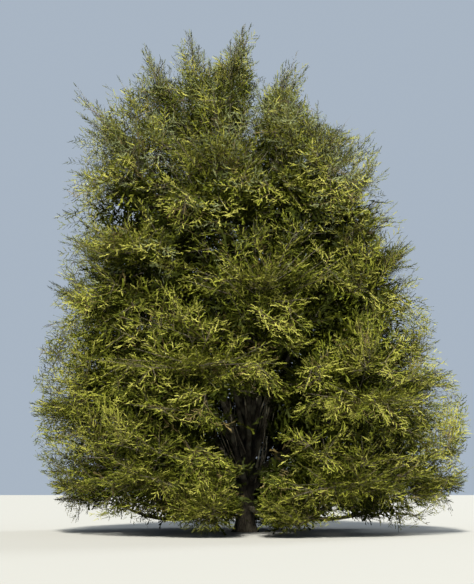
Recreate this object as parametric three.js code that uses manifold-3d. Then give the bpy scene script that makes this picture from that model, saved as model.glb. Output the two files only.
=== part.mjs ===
// A broad, many-topped cedar: a short foot, a ring of low sweeping boughs, and tiers of steeper ones above
// that fan out from the trunk. Each bough and each leader carries one mass of foliage.
// Millimetres and degrees. +Z is up, the ground is z = 0, and the origin is the centre of the trunk's cut.

import * as THREE from 'three';
import { mergeVertices } from 'three/addons/utils/BufferGeometryUtils.js';
import Module from 'manifold-3d';

const wasm = await Module();
wasm.setup();

// Driving sizes of the whole tree
const treeHeight = 18500;
const gap = 0.3; // between a limb and what it meets
const seedOfTree = 20417;

// The crown's half width and the sideways drift of its middle, by height
const crownOutline = [
  { z: 0, reach: 6300, drift: 400 },
  { z: 1100, reach: 7100, drift: 450 },
  { z: 2800, reach: 7800, drift: 270 },
  { z: 4600, reach: 7700, drift: 80 },
  { z: 8500, reach: 6750, drift: -300 },
  { z: 12500, reach: 6200, drift: -650 },
  { z: 14200, reach: 5600, drift: -750 },
  { z: 15400, reach: 4100, drift: -1900 },
  { z: 16800, reach: 3200, drift: -1900 },
  { z: treeHeight, reach: 2300, drift: -1500 },
];

// The trunk: its line as a curve's control points, and its radius from the flared foot to the tip
const trunk = {
  line: [[0, 0, 0], [160, 0, 4200], [520, 260, 9200], [-560, 60, 14000]],
  footRadius: 300,
  flare: 190,
  flareHeight: 330,
  rootLobes: 6,
  tipRadius: 52,
  taperPower: 0.8,
  ringCrowding: 1.7,
  sides: 14,
  rings: 13,
};

// Each tier is a ring of boughs, told by their azimuths. Tilts are above the horizon. Every other bough is
// raised by its tier's sway, and cup is how far the foliage's layers turn up at their rims.
const tiers = [
  {
    name: 'skirt', azimuths: [-6, 46, 98, 146, 190, 236, 302], spread: 0.85, cup: 2, sway: 200,
    leaveZ: 1050, stagger: 110, leaveTilt: -22, arriveTilt: 18, endReach: 3900, endZ: 820,
    leaveRadius: 105, endRadius: 55,
    heartReach: 5600, heartZ: 1700, tipZ: 2300, tipTilt: 12,
  },
  {
    name: 'lower', azimuths: [190, 250, 314, 14, 74, 132], spread: 1, cup: 8, sway: 1100,
    leaveZ: 1500, stagger: 170, leaveTilt: 38, arriveTilt: 28, endReach: 3500, endZ: 4000,
    leaveRadius: 105, endRadius: 55,
    heartReach: 5300, heartZ: 4700, tipZ: 5000, tipTilt: 14,
  },
  {
    name: 'middle', azimuths: [280, -14, 46, 106, 172, 224], spread: 1, cup: 18, sway: 1300,
    leaveZ: 2150, stagger: 220, leaveTilt: 62, arriveTilt: 46, endReach: 2900, endZ: 7300,
    leaveRadius: 98, endRadius: 50,
    heartReach: 4600, heartZ: 8400, tipZ: 9200, tipTilt: 30,
  },
  {
    name: 'upper', azimuths: [6, 66, 126, 214, 262, 316], spread: 1, cup: 20, sway: 1100,
    leaveZ: 3100, stagger: 320, leaveTilt: 72, arriveTilt: 56, endReach: 2100, endZ: 10700,
    leaveRadius: 90, endRadius: 46,
    heartReach: 3900, heartZ: 12100, tipZ: 13600, tipTilt: 44,
  },
];
const azimuthPlay = 8;
const heightPlay = 240;

// The steep stems that carry the crown's tops, told by the tip of each and how it leans there
const leaders = [
  { name: 'left_leader', leaveZ: 4300, tip: [-3700, 900, 18000], leanTo: 180, tipTilt: 82 },
  { name: 'outer_leader', leaveZ: 3600, tip: [-6300, 200, 16300], leanTo: 180, tipTilt: 48 },
  { name: 'front_leader', leaveZ: 4900, tip: [-2050, -1300, 17750], leanTo: 180, tipTilt: 84 },
  { name: 'right_leader', leaveZ: 4500, tip: [1960, 500, 17600], leanTo: 0, tipTilt: 50 },
];
const leaderForm = {
  leaveTilt: 76, arriveTilt: 80, endShare: 0.56, endDrop: 4900, leaveRadius: 84, endRadius: 44,
  heartDrop: 2300, heartShare: 0.84, topWidth: 1500, topEnd: 260, cup: 34, stemReach: 0.85,
};
const trunkTop = { tip: [270, -150, treeHeight], heart: [-650, 100, 16000], leanTo: 0, tipTilt: 62 };

// Limbs as solids
const limb = { sides: 6, rings: 4, taperPower: 0.75 };

// A mass's stem, the twigs round it and the sprays on them
const growth = {
  stemReach: 0.62,
  stemRootShare: 0.9,
  stemSides: 3,
  stemRings: 4,
  twigs: 3,
  firstTwig: 0.06,
  lastTwig: 0.88,
  tipTwig: 0.94,
  openAtFoot: 76,
  openAtTip: 34,
  goldenTurn: 137.508,
  firstRoll: 60,
  longestTwig: 3600,
  twigRadius: 38,
  marchStep: 100,
  sprayLength: 2100,
  shortestSpray: 620,
  sprayPlay: [0.8, 1.1],
  sprayFits: [1, 0.75, 0.5],
  firstSpray: 0.25,
  lastSpray: 0.8,
  tipSpray: 0.92,
  sprayGap: 1800,
  sprayAngle: 40,
  sprayThickness: 44,
  sprayRoll: 50,
  wallMargin: 30,
  limbClearance: 25,
  lowestLeaf: 120,
};

// Half of a spray's outline as shares of its length: root, tooth, notch and tip
const sprayRim = [[-0.004, 0], [0.55, 0.19], [0.56, 0.09], [1, 0]];
const sprayCrest = 0.4;

// The layers of a dense mass: toothed pads round its stem, told by their shares of it
const layers = [{ share: 0.5, rise: -1200 }, { share: 0.3, rise: 1150 }, { share: 0.98, rise: 0 }];
const topLayers = [{ share: 0.08, rise: 0 }, { share: 0.36, rise: 0 }, { share: 0.66, rise: 0 }];
const layer = {
  shortestRun: 150,
  teeth: 8,
  toothPlay: 0.4,
  tooth: [0.84, 1],
  notch: [0.56, 0.76],
  fills: [[1, 1], [1, 0.5], [1, 0.2], [0.8, 0.2], [0.6, 0.2], [0.4, 0.2]],
  forward: 3300,
  backward: 1300,
  thickness: 420,
  lowestCentre: 450,
  levelling: 0.45,
};

// The low front is open, so that the fan of stems shows, and narrower where the foot shows
const frontOpening = { x: 100, halfWidth: 1350, highZ: 4900, footHalfWidth: 520, footZ: 2000 };

const barkMaterial = new THREE.MeshStandardMaterial({ color: 0x4b4238, roughness: 0.95, metalness: 0 });
const needleMaterial = new THREE.MeshStandardMaterial({ color: 0x6d7033, roughness: 0.75, metalness: 0 });

const rad = THREE.MathUtils.degToRad;
const mix = THREE.MathUtils.lerp;
const up = new THREE.Vector3(0, 0, 1);

// A small repeatable source of numbers from 0 to 1
function seeded(seed) {
  let state = seed;
  const next = () => {
    state = (state * 1664525 + 1013904223) % 4294967296;
    return state / 4294967296;
  };
  for (let i = 0; i < 3; i++) next();
  return next;
}

// A direction from an azimuth and a tilt above the horizon
function heading(azimuth, tilt) {
  const level = Math.cos(rad(tilt));
  const turn = rad(azimuth);
  return new THREE.Vector3(level * Math.cos(turn), level * Math.sin(turn), Math.sin(rad(tilt)));
}

function pointAt(azimuth, reach, z) {
  return heading(azimuth, 0).multiplyScalar(reach).setZ(z);
}

// The outline's reach and drift at a height
function outlineAt(z) {
  const rows = crownOutline;
  const above = rows.findIndex((row) => row.z >= z);
  const next = rows[above < 0 ? rows.length - 1 : Math.max(1, above)];
  const last = rows[rows.indexOf(next) - 1];
  const share = THREE.MathUtils.clamp((z - last.z) / (next.z - last.z), 0, 1);
  return { reach: mix(last.reach, next.reach, share), drift: mix(last.drift, next.drift, share) };
}

// How far the crown reaches from the upright axis at an azimuth and a height
function reachAt(azimuth, z) {
  const { reach, drift } = outlineAt(z);
  const across = drift * Math.sin(rad(azimuth));
  return drift * Math.cos(rad(azimuth)) + Math.sqrt(reach * reach - across * across);
}

// A curve that leaves one point along one heading and arrives at another along a second
function swept(from, leaving, to, arriving) {
  const third = from.distanceTo(to) / 3;
  const first = from.clone().addScaledVector(leaving, third);
  return new THREE.CubicBezierCurve3(from, first, to.clone().addScaledVector(arriving, -third), to);
}

// Two axes square to a direction, the first as near as can be to a wanted side
function squareTo(direction, wanted) {
  const side = wanted.clone().addScaledVector(direction, -direction.dot(wanted)).normalize();
  return { side, lift: side.clone().cross(direction) };
}

// A level side for a direction that isn't upright
function levelSide(direction) {
  return direction.clone().cross(up).normalize();
}

// A closed tube round a curve: a cylinder whose rings are moved onto the curve, coming to a point where the
// radius at its end is nothing. radiusAt takes the share of the curve and the angle round it.
function tube(curve, side, radiusAt, sides, rings) {
  const geometry = new THREE.CylinderGeometry(radiusAt(1, 0) > 0 ? 1 : 0, 1, 1, sides, rings);
  const place = geometry.attributes.position;
  for (let i = 0; i < place.count; i++) {
    const share = 0.5 + place.getY(i);
    const onRim = Math.hypot(place.getX(i), place.getZ(i)) > 0.01 ? 1 : 0;
    const angle = Math.atan2(place.getZ(i), place.getX(i));
    const radius = onRim * radiusAt(share, angle);
    const axes = squareTo(curve.getTangent(share), side);
    const point = curve.getPoint(share);
    point.addScaledVector(axes.side, radius * Math.cos(angle));
    point.addScaledVector(axes.lift, radius * Math.sin(angle));
    place.setXYZ(i, point.x, point.y, point.z);
  }
  return solidOf(geometry);
}

// A closed mesh as a solid that can be joined and cut
function solidOf(geometry) {
  geometry.deleteAttribute('normal');
  geometry.deleteAttribute('uv');
  const merged = mergeVertices(geometry, 1e-3);
  return new wasm.Manifold(new wasm.Mesh({
    numProp: 3,
    vertProperties: new Float32Array(merged.attributes.position.array),
    triVerts: new Uint32Array(merged.index.array),
  }));
}

function geometryOf(solid) {
  const mesh = solid.getMesh();
  const geometry = new THREE.BufferGeometry();
  geometry.setAttribute('position', new THREE.BufferAttribute(mesh.vertProperties, mesh.numProp));
  geometry.setIndex(new THREE.BufferAttribute(mesh.triVerts, 1));
  geometry.computeVertexNormals();
  return geometry;
}

function largestBody(solid) {
  return solid.decompose().sort((a, b) => b.volume() - a.volume())[0];
}

// True where two solids share space
function touches(solid, other) {
  const a = solid.boundingBox();
  const b = other.boundingBox();
  const apart = [0, 1, 2].some((k) => a.min[k] > b.max[k] || b.min[k] > a.max[k]);
  return !apart && solid.intersect(other).volume() > 0;
}

// The trunk's middle line, with closer stations at the flared foot
const trunkCurve = new THREE.CubicBezierCurve3(...trunk.line.map((point) => new THREE.Vector3(...point)));
const trunkLine = {
  station: (share) => Math.pow(share, trunk.ringCrowding),
  getPoint: (share) => trunkCurve.getPoint(trunkLine.station(share)),
  getTangent: () => up,
};

function trunkRadius(share, angle) {
  const station = trunkLine.station(share);
  const lobes = 0.5 + 0.5 * Math.cos(trunk.rootLobes * angle);
  const foot = Math.exp(-trunkCurve.getPoint(station).z / trunk.flareHeight);
  const shaft = mix(trunk.footRadius, trunk.tipRadius, Math.pow(station, trunk.taperPower));
  return shaft + trunk.flare * foot * lobes;
}

function trunkSolid(grown) {
  const radiusAt = (share, angle) => trunkRadius(share, angle) + grown;
  return tube(trunkLine, new THREE.Vector3(1, 0, 0), radiusAt, trunk.sides, trunk.rings);
}

// The trunk's middle at a height, found by halving
function trunkPoint(z) {
  let low = 0;
  let high = 1;
  for (let i = 0; i < 24; i++) {
    const middle = (low + high) / 2;
    if (trunkCurve.getPoint(middle).z < z) low = middle;
    else high = middle;
  }
  return trunkCurve.getPoint(low);
}

// Where a tier's bough runs, and the heart and the tip of the mass that it carries
function boughSpec(tier, index) {
  const random = seeded(seedOfTree + tier.leaveZ + index);
  const azimuth = tier.azimuths[index] + (random() - 0.5) * azimuthPlay;
  const rise = tier.sway * ((index % 2) - 0.5) + (random() - 0.5) * heightPlay;
  const leaveZ = tier.leaveZ + tier.stagger * ((index % 3) - 1);
  const end = pointAt(azimuth, tier.endReach, tier.endZ + rise);
  end.x += outlineAt(end.z).drift * tier.endReach / tier.heartReach;
  const heart = pointAt(azimuth, tier.heartReach, tier.heartZ + rise);
  heart.x += outlineAt(heart.z).drift;
  const arriving = heading(azimuth, tier.arriveTilt);
  return {
    name: `${tier.name}_bough_${index + 1}`,
    mass: `${tier.name}_foliage_${index + 1}`,
    side: heading(azimuth - 90, 0),
    line: swept(trunkPoint(leaveZ), heading(azimuth, tier.leaveTilt), end, arriving),
    leaveRadius: tier.leaveRadius,
    endRadius: tier.endRadius,
    endHeading: arriving,
    cup: tier.cup,
    spread: tier.spread,
    stemReach: growth.stemReach,
    heart,
    tip: pointAt(azimuth, reachAt(azimuth, tier.tipZ + rise), tier.tipZ + rise),
    atTip: heading(azimuth, tier.tipTilt),
  };
}

function leaderSpec(leader) {
  const tip = new THREE.Vector3(...leader.tip);
  const azimuth = THREE.MathUtils.radToDeg(Math.atan2(tip.y, tip.x));
  const end = tip.clone().multiplyScalar(leaderForm.endShare).setZ(tip.z - leaderForm.endDrop);
  const heart = tip.clone().multiplyScalar(leaderForm.heartShare).setZ(tip.z - leaderForm.heartDrop);
  const arriving = heading(azimuth, leaderForm.arriveTilt);
  return {
    name: leader.name,
    mass: `${leader.name}_foliage`,
    side: heading(azimuth - 90, 0),
    line: swept(trunkPoint(leader.leaveZ), heading(azimuth, leaderForm.leaveTilt), end, arriving),
    leaveRadius: leaderForm.leaveRadius,
    endRadius: leaderForm.endRadius,
    endHeading: arriving,
    cup: leaderForm.cup,
    spread: 1,
    stemReach: leaderForm.stemReach,
    heart,
    tip,
    atTip: heading(leader.leanTo, leader.tipTilt),
    isTop: true,
  };
}

// The trunk's own tip carries a mass as a bough's does
function trunkTopSpec() {
  return {
    mass: 'crown_top_foliage',
    side: new THREE.Vector3(0, 1, 0),
    line: trunkCurve,
    endRadius: trunk.tipRadius,
    endHeading: up,
    cup: leaderForm.cup,
    spread: 1,
    stemReach: leaderForm.stemReach,
    heart: new THREE.Vector3(...trunkTop.heart),
    tip: new THREE.Vector3(...trunkTop.tip),
    atTip: heading(trunkTop.leanTo, trunkTop.tipTilt),
    isTop: true,
  };
}

function limbSolid(spec, grown) {
  const { line, side, leaveRadius, endRadius } = spec;
  const radiusAt = (share) => mix(leaveRadius, endRadius, Math.pow(share, limb.taperPower)) + grown;
  return tube(line, side, radiusAt, limb.sides, limb.rings);
}

// A mass's own space: the points nearer to its heart than to any other's, inside the crown's outline and
// clear of the open low front and of every limb. Such a cell is convex, so a piece with its corners inside
// lies inside.
class Space {
  constructor(spec, hearts, limbs) {
    this.spec = spec;
    this.limbs = limbs;
    this.walls = hearts.filter((other) => other !== spec.heart).map((other) => {
      const normal = other.clone().sub(spec.heart).normalize();
      const middle = spec.heart.clone().lerp(other, 0.5);
      return { normal, offset: normal.dot(middle) - growth.wallMargin };
    });
  }

  inCell(point) {
    return point.z > growth.lowestLeaf && this.walls.every((wall) => wall.normal.dot(point) < wall.offset);
  }

  // A top narrows from its heart to its tip. Elsewhere the crown's outline is the limit.
  inOutline(point) {
    const { heart, tip, isTop } = this.spec;
    if (isTop && point.z > heart.z) {
      const share = Math.min(1, (point.z - heart.z) / (tip.z - heart.z));
      const middle = heart.clone().lerp(tip, share);
      const width = mix(leaderForm.topWidth, leaderForm.topEnd, share);
      return point.z < tip.z && Math.hypot(point.x - middle.x, point.y - middle.y) < width;
    }
    const { reach, drift } = outlineAt(point.z);
    return Math.hypot(point.x - drift, point.y) < reach;
  }

  inOpening(point) {
    const { x, halfWidth, highZ, footHalfWidth, footZ } = frontOpening;
    const inFront = point.y < 0 && point.z < highZ;
    return inFront && Math.abs(point.x - x) < (point.z < footZ ? footHalfWidth : halfWidth);
  }

  holds(point) {
    return this.inCell(point) && this.inOutline(point) && !this.inOpening(point);
  }

  clears(solid) {
    return this.limbs.every((other) => !touches(solid, other));
  }

  // How far a straight line from a point stays inside
  runFrom(point, direction, longest) {
    let length = 0;
    const next = point.clone();
    while (length < longest && this.holds(next)) {
      next.addScaledVector(direction, growth.marchStep);
      length += growth.marchStep;
    }
    return length - growth.marchStep;
  }
}

// A straight three-sided twig that comes to a point
function twigSolid(from, to, side) {
  return tube(new THREE.LineCurve3(from, to), side, (share) => growth.twigRadius * (1 - share), 3, 1);
}

// The corners of a toothed spray: its rim, and a crest above and below
function sprayCorners(root, direction, side, length) {
  const normal = direction.clone().cross(side);
  const at = (along, across, rise) => root.clone().addScaledVector(direction, along * length)
    .addScaledVector(side, across * length).addScaledVector(normal, rise);
  const left = sprayRim.map(([along, across]) => at(along, across, 0));
  const right = sprayRim.slice(1, -1).reverse().map(([along, across]) => at(along, -across, 0));
  const half = growth.sprayThickness / 2;
  return { rim: [...left, ...right], crests: [at(sprayCrest, 0, half), at(sprayCrest, 0, -half)] };
}

function spraySolid({ rim, crests }) {
  const index = [];
  const above = rim.length;
  for (let i = 0; i < rim.length; i++) {
    const next = (i + 1) % rim.length;
    index.push(next, i, above, i, next, above + 1);
  }
  const geometry = new THREE.BufferGeometry().setFromPoints([...rim, ...crests]);
  geometry.setIndex(index);
  return solidOf(geometry);
}

// A spray at the wanted length, or shorter where that leaves the space or meets another piece
function fittedSpray(root, direction, side, wanted, space, placed) {
  for (const fit of growth.sprayFits) {
    const corners = sprayCorners(root, direction, side, wanted * fit);
    if (!corners.rim.slice(1).every((point) => space.holds(point))) continue;
    const solid = spraySolid(corners);
    if (space.clears(solid) && !placed.some((other) => touches(solid, other))) return [solid];
  }
  return [];
}

// Sprays on both sides of a twig in turn, and one at its tip
function spraysOn(twig, space, placed, random) {
  const count = Math.max(1, Math.round(twig.length / growth.sprayGap));
  const sprays = [];
  for (let i = 0; i <= count; i++) {
    const atTip = i === count;
    const roll = rad(growth.sprayRoll) * (random() - 0.5);
    const wanted = growth.sprayLength * mix(...growth.sprayPlay, random());
    const turn = atTip ? 0 : rad(growth.sprayAngle) * (i % 2 ? 1 : -1);
    const plane = twig.lift.clone().applyAxisAngle(twig.direction, roll);
    const direction = twig.direction.clone().applyAxisAngle(plane, turn);
    const share = atTip ? growth.tipSpray : mix(growth.firstSpray, growth.lastSpray, (i + 0.5) / count);
    const root = twig.from.clone().addScaledVector(twig.direction, twig.length * share);
    const length = atTip ? twig.sprayLength : wanted;
    const side = plane.clone().cross(direction);
    sprays.push(...fittedSpray(root, direction, side, length, space, [...placed, ...sprays]));
  }
  return sprays;
}

// A twig with its sprays, grown from a point as far as the space lets it
function branchlet(from, direction, side, space, placed, random) {
  const run = space.runFrom(from, direction, growth.longestTwig);
  const sprayLength = Math.min(growth.sprayLength, run * growth.lastSpray);
  if (sprayLength < growth.shortestSpray) return [];
  const length = (run - sprayLength) / growth.tipSpray;
  const to = from.clone().addScaledVector(direction, length);
  const solid = twigSolid(from, to, side);
  if (!space.clears(solid)) return [];
  const { lift } = squareTo(direction, levelSide(direction));
  const sprays = spraysOn({ from, direction, lift, length, sprayLength }, space, placed, random);
  return sprays.length ? [solid, ...sprays] : [];
}

// The rim of a pad: teeth and notches in turn, at uneven shares of the way to the mass's limits
function padRim(centre, forward, side, cup, space, random) {
  const rim = [];
  const count = 2 * layer.teeth;
  for (let i = 0; i < count; i++) {
    const angle = (2 * Math.PI * (i + layer.toothPlay * Math.sign(i) * random())) / count;
    const direction = forward.clone().multiplyScalar(Math.cos(angle)).addScaledVector(side, Math.sin(angle));
    direction.addScaledVector(up, Math.tan(rad(cup))).normalize();
    const share = i ? mix(...(i % 2 ? layer.notch : layer.tooth), random()) : 1;
    const ahead = (1 + Math.cos(angle)) / 2;
    const furthest = mix(layer.backward, layer.forward, ahead);
    const run = Math.max(layer.shortestRun, space.runFrom(centre, direction, furthest));
    rim.push({ ahead, point: direction.multiplyScalar(share * run).add(centre) });
  }
  return rim;
}

// The rim drawn in by the shares left of it in front and behind
function drawnIn(rim, centre, [front, back]) {
  return rim.map(({ ahead, point }) => centre.clone().lerp(point, mix(back, front, ahead)));
}

// A layer: a toothed pad on a twig of its own, as wide as the space and the limbs let it be
function layerOn(stem, place, spec, space, random) {
  const from = stem.getPoint(place.share);
  const along = stem.getTangent(place.share);
  const forward = along.clone().setZ(along.z * layer.levelling).normalize();
  const { side, lift } = squareTo(forward, spec.side);
  const centre = from.clone().addScaledVector(lift, place.rise * spec.spread);
  centre.z = Math.max(centre.z, layer.lowestCentre);
  if (!space.holds(centre)) return [];
  const rim = padRim(centre, forward, side, spec.cup, space, random);
  const half = lift.clone().multiplyScalar(layer.thickness / 2);
  const crests = [centre.clone().add(half), centre.clone().sub(half)];
  const pads = layer.fills.map((fill) => spraySolid({ rim: drawnIn(rim, centre, fill), crests }));
  const pad = pads.find((solid) => space.clears(solid));
  if (!pad || !place.rise) return pad ? [pad] : [];
  const twig = twigSolid(from, centre, forward);
  return space.clears(twig) ? [pad, twig] : [];
}

// A mass's stem grows on from its limb's end face, most of the way to the mass's tip
function stemLine(spec) {
  const root = spec.line.getPoint(1).addScaledVector(spec.endHeading, gap);
  return swept(root, spec.endHeading, root.clone().lerp(spec.tip, spec.stemReach), spec.atTip);
}

function stemSolid(spec, grown) {
  const radiusAt = (share) => mix(spec.endRadius * growth.stemRootShare + grown, grown, share);
  return tube(stemLine(spec), spec.side, radiusAt, growth.stemSides, growth.stemRings);
}

// One mass: a stem, layers and twigs on it in a golden spiral and sprays on the twigs, all fused
function massSolid(spec, space, seed) {
  const stem = stemLine(spec);
  const pieces = [stemSolid(spec, 0)];
  const random = seeded(seed - 1);
  const places = spec.isTop ? topLayers : layers;
  for (const place of places) pieces.push(...layerOn(stem, place, spec, space, random));
  for (let i = 0; i < growth.twigs; i++) {
    const share = mix(growth.firstTwig, growth.lastTwig, i / (growth.twigs - 1));
    const along = stem.getTangent(share);
    const { side, lift } = squareTo(along, spec.side);
    const roll = rad(growth.firstRoll + growth.goldenTurn * i);
    const outwards = side.clone().multiplyScalar(Math.cos(roll)).addScaledVector(lift, Math.sin(roll));
    const open = rad(mix(growth.openAtFoot, growth.openAtTip, share));
    const direction = along.clone().multiplyScalar(Math.cos(open)).addScaledVector(outwards, Math.sin(open));
    const placed = pieces.slice(1);
    pieces.push(...branchlet(stem.getPoint(share), direction, side, space, placed, seeded(seed + i)));
  }
  const tipRandom = seeded(seed + growth.twigs);
  const tipFrom = stem.getPoint(growth.tipTwig);
  pieces.push(...branchlet(tipFrom, stem.getTangent(1), spec.side, space, pieces.slice(1), tipRandom));
  return largestBody(wasm.Manifold.union(pieces));
}

function namedMesh(name, solid, material) {
  const mesh = new THREE.Mesh(geometryOf(solid), material);
  mesh.name = name;
  return mesh;
}

// Each limb is cut by the trunk, and by a limb before it where their feet meet
function limbMeshes(specs) {
  const cutters = [trunkSolid(gap)];
  return specs.map((spec) => {
    const whole = limbSolid(spec, 0);
    const meets = cutters.filter((cutter) => touches(whole, cutter));
    cutters.push(limbSolid(spec, gap));
    const cut = meets.reduce((left, cutter) => left.subtract(cutter), whole);
    return namedMesh(spec.name, largestBody(cut), barkMaterial);
  });
}

function massMeshes(specs) {
  const carriers = [...specs, trunkTopSpec()];
  const hearts = carriers.map((spec) => spec.heart);
  const clearance = growth.limbClearance;
  const limbs = [trunkSolid(clearance), ...specs.map((spec) => limbSolid(spec, clearance))];
  const stems = carriers.map((spec) => stemSolid(spec, clearance));
  return carriers.map((spec, index) => {
    const space = new Space(spec, hearts, [...limbs, ...stems.filter((stem, other) => other !== index)]);
    return namedMesh(spec.mass, massSolid(spec, space, seedOfTree * (index + 1)), needleMaterial);
  });
}

function cedarTree() {
  const specs = [
    ...tiers.flatMap((tier) => tier.azimuths.map((azimuth, index) => boughSpec(tier, index))),
    ...leaders.map(leaderSpec),
  ];
  const tree = new THREE.Group();
  tree.add(namedMesh('trunk', trunkSolid(0), barkMaterial), ...limbMeshes(specs), ...massMeshes(specs));
  return tree;
}

export default cedarTree();
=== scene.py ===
# A broad, many-topped cedar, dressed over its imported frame
# Metres and degrees, +Z up, origin at the centre of the trunk's cut
import math

import bmesh
import bpy
import numpy as np
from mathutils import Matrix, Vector, noise


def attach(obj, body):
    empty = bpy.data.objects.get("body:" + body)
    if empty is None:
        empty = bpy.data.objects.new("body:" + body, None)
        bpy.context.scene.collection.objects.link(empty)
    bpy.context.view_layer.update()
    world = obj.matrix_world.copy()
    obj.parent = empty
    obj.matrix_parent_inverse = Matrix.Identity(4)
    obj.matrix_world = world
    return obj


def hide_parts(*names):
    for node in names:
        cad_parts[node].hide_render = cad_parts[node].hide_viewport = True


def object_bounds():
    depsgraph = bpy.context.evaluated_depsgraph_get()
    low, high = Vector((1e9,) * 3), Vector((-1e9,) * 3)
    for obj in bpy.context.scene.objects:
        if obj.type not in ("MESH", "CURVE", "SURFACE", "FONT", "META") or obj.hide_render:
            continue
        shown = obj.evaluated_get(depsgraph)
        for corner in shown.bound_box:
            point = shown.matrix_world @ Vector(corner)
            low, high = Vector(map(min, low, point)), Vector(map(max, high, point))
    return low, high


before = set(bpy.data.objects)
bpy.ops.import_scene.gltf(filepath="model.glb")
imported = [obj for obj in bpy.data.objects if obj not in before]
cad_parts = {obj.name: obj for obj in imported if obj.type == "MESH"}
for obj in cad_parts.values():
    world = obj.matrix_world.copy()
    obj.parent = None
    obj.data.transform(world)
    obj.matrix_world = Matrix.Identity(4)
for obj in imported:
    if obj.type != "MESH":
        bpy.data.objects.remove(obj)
cadBox = np.array([list(corner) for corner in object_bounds()])
scene = bpy.context.scene

# Camera, light and floor

view = {
    "place": (-0.283, -48.6, 1.555), "lens": 84.6, "farClip": 500,
    "pitch": 98.087,     # the horizon lies low in the picture
}
light = {                # two soft lamps far off, and the even light all round
    "key": {"from": (-5, -37, 40), "power": 13.3, "softness": 5, "colour": (1, 0.96, 0.88)},
    "fill": {"from": (30, 34, 26), "power": 2, "softness": 20, "colour": (0.9, 0.95, 1)},
    "skyColour": (0.68, 0.80, 0.95, 1), "skyStrength": 0.58,
}
floorForm = {"halfSize": 220, "colour": (0.21, 0.21, 0.195), "roughness": 0.9}


def setStage():
    camera = bpy.data.objects.new("camera", bpy.data.cameras.new("camera"))
    camera.location = view["place"]
    camera.rotation_euler = (math.radians(view["pitch"]), 0, 0)
    camera.data.lens = view["lens"]
    camera.data.clip_end = view["farClip"]
    scene.collection.objects.link(camera)
    scene.camera = camera
    for name in ("key", "fill"):
        form = light[name]
        lamp = bpy.data.objects.new(name, bpy.data.lights.new(name, "SUN"))
        lamp.data.energy = form["power"]
        lamp.data.angle = math.radians(form["softness"])
        lamp.data.color = form["colour"]
        lamp.location = form["from"]
        lamp.rotation_euler = Vector(form["from"]).to_track_quat("Z", "Y").to_euler()
        scene.collection.objects.link(lamp)
    world = bpy.data.worlds.new("studio")
    world.use_nodes = True
    backdrop = world.node_tree.nodes["Background"]
    backdrop.inputs["Color"].default_value = light["skyColour"]
    backdrop.inputs["Strength"].default_value = light["skyStrength"]
    scene.world = world
    scene.view_settings.view_transform = "Standard"


def plainMaterial(name, colour, roughness, specular=0.5):
    material = bpy.data.materials.new(name)
    material.use_nodes = True
    shader = material.node_tree.nodes["Principled BSDF"]
    shader.inputs["Base Color"].default_value = (*colour, 1)
    shader.inputs["Roughness"].default_value = roughness
    shader.inputs["Specular IOR Level"].default_value = specular
    return material


def layFloor():
    mesh = bpy.data.meshes.new("floor")
    shape = bmesh.new()
    bmesh.ops.create_grid(shape, x_segments=1, y_segments=1, size=floorForm["halfSize"])
    shape.to_mesh(mesh)
    shape.free()
    mesh.materials.append(plainMaterial("paleFloor", floorForm["colour"], floorForm["roughness"]))
    floor = bpy.data.objects.new("floor", mesh)
    scene.collection.objects.link(floor)


setStage()
layFloor()
print("stage set")

# The tree's rule, as the frame's solids were grown

seedOfTree = 20417
meetingGap = 0.0003      # between a limb and what it meets

crownOutline = {         # the crown's half width and the drift of its middle, by height
    "z": [0, 1.1, 2.8, 4.6, 8.5, 12.5, 14.2, 15.4, 16.8, 18.5],
    "reach": [6.3, 7.1, 7.8, 7.7, 6.75, 6.2, 5.6, 4.1, 3.2, 2.3],
    "drift": [0.4, 0.45, 0.27, 0.08, -0.3, -0.65, -0.75, -1.9, -1.9, -1.5],
}
trunk = {
    "line": np.array([(0, 0, 0), (0.16, 0, 4.2), (0.52, 0.26, 9.2), (-0.56, 0.06, 14)]),
    "footRadius": 0.3, "flare": 0.19, "flareHeight": 0.33, "rootLobes": 6,
    "tipRadius": 0.052, "taperPower": 0.8, "halvings": 24,
}
tiers = [
    {"name": "skirt", "azimuths": [-6, 46, 98, 146, 190, 236, 302], "spread": 0.85, "cup": 2, "sway": 0.2,
     "leaveZ": 1.05, "stagger": 0.11, "leaveTilt": -22, "arriveTilt": 18, "endReach": 3.9, "endZ": 0.82,
     "leaveRadius": 0.105, "endRadius": 0.055, "heartReach": 5.6, "heartZ": 1.7, "tipZ": 2.3, "tipTilt": 12},
    {"name": "lower", "azimuths": [190, 250, 314, 14, 74, 132], "spread": 1, "cup": 8, "sway": 1.1,
     "leaveZ": 1.5, "stagger": 0.17, "leaveTilt": 38, "arriveTilt": 28, "endReach": 3.5, "endZ": 4,
     "leaveRadius": 0.105, "endRadius": 0.055, "heartReach": 5.3, "heartZ": 4.7, "tipZ": 5, "tipTilt": 14},
    {"name": "middle", "azimuths": [280, -14, 46, 106, 172, 224], "spread": 1, "cup": 18, "sway": 1.3,
     "leaveZ": 2.15, "stagger": 0.22, "leaveTilt": 62, "arriveTilt": 46, "endReach": 2.9, "endZ": 7.3,
     "leaveRadius": 0.098, "endRadius": 0.05, "heartReach": 4.6, "heartZ": 8.4, "tipZ": 9.2, "tipTilt": 30},
    {"name": "upper", "azimuths": [6, 66, 126, 214, 262, 316], "spread": 1, "cup": 20, "sway": 1.1,
     "leaveZ": 3.1, "stagger": 0.32, "leaveTilt": 72, "arriveTilt": 56, "endReach": 2.1, "endZ": 10.7,
     "leaveRadius": 0.09, "endRadius": 0.046, "heartReach": 3.9, "heartZ": 12.1, "tipZ": 13.6, "tipTilt": 44},
]
azimuthPlay = 8
heightPlay = 0.24
seedsPerMetre = 1000
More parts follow.
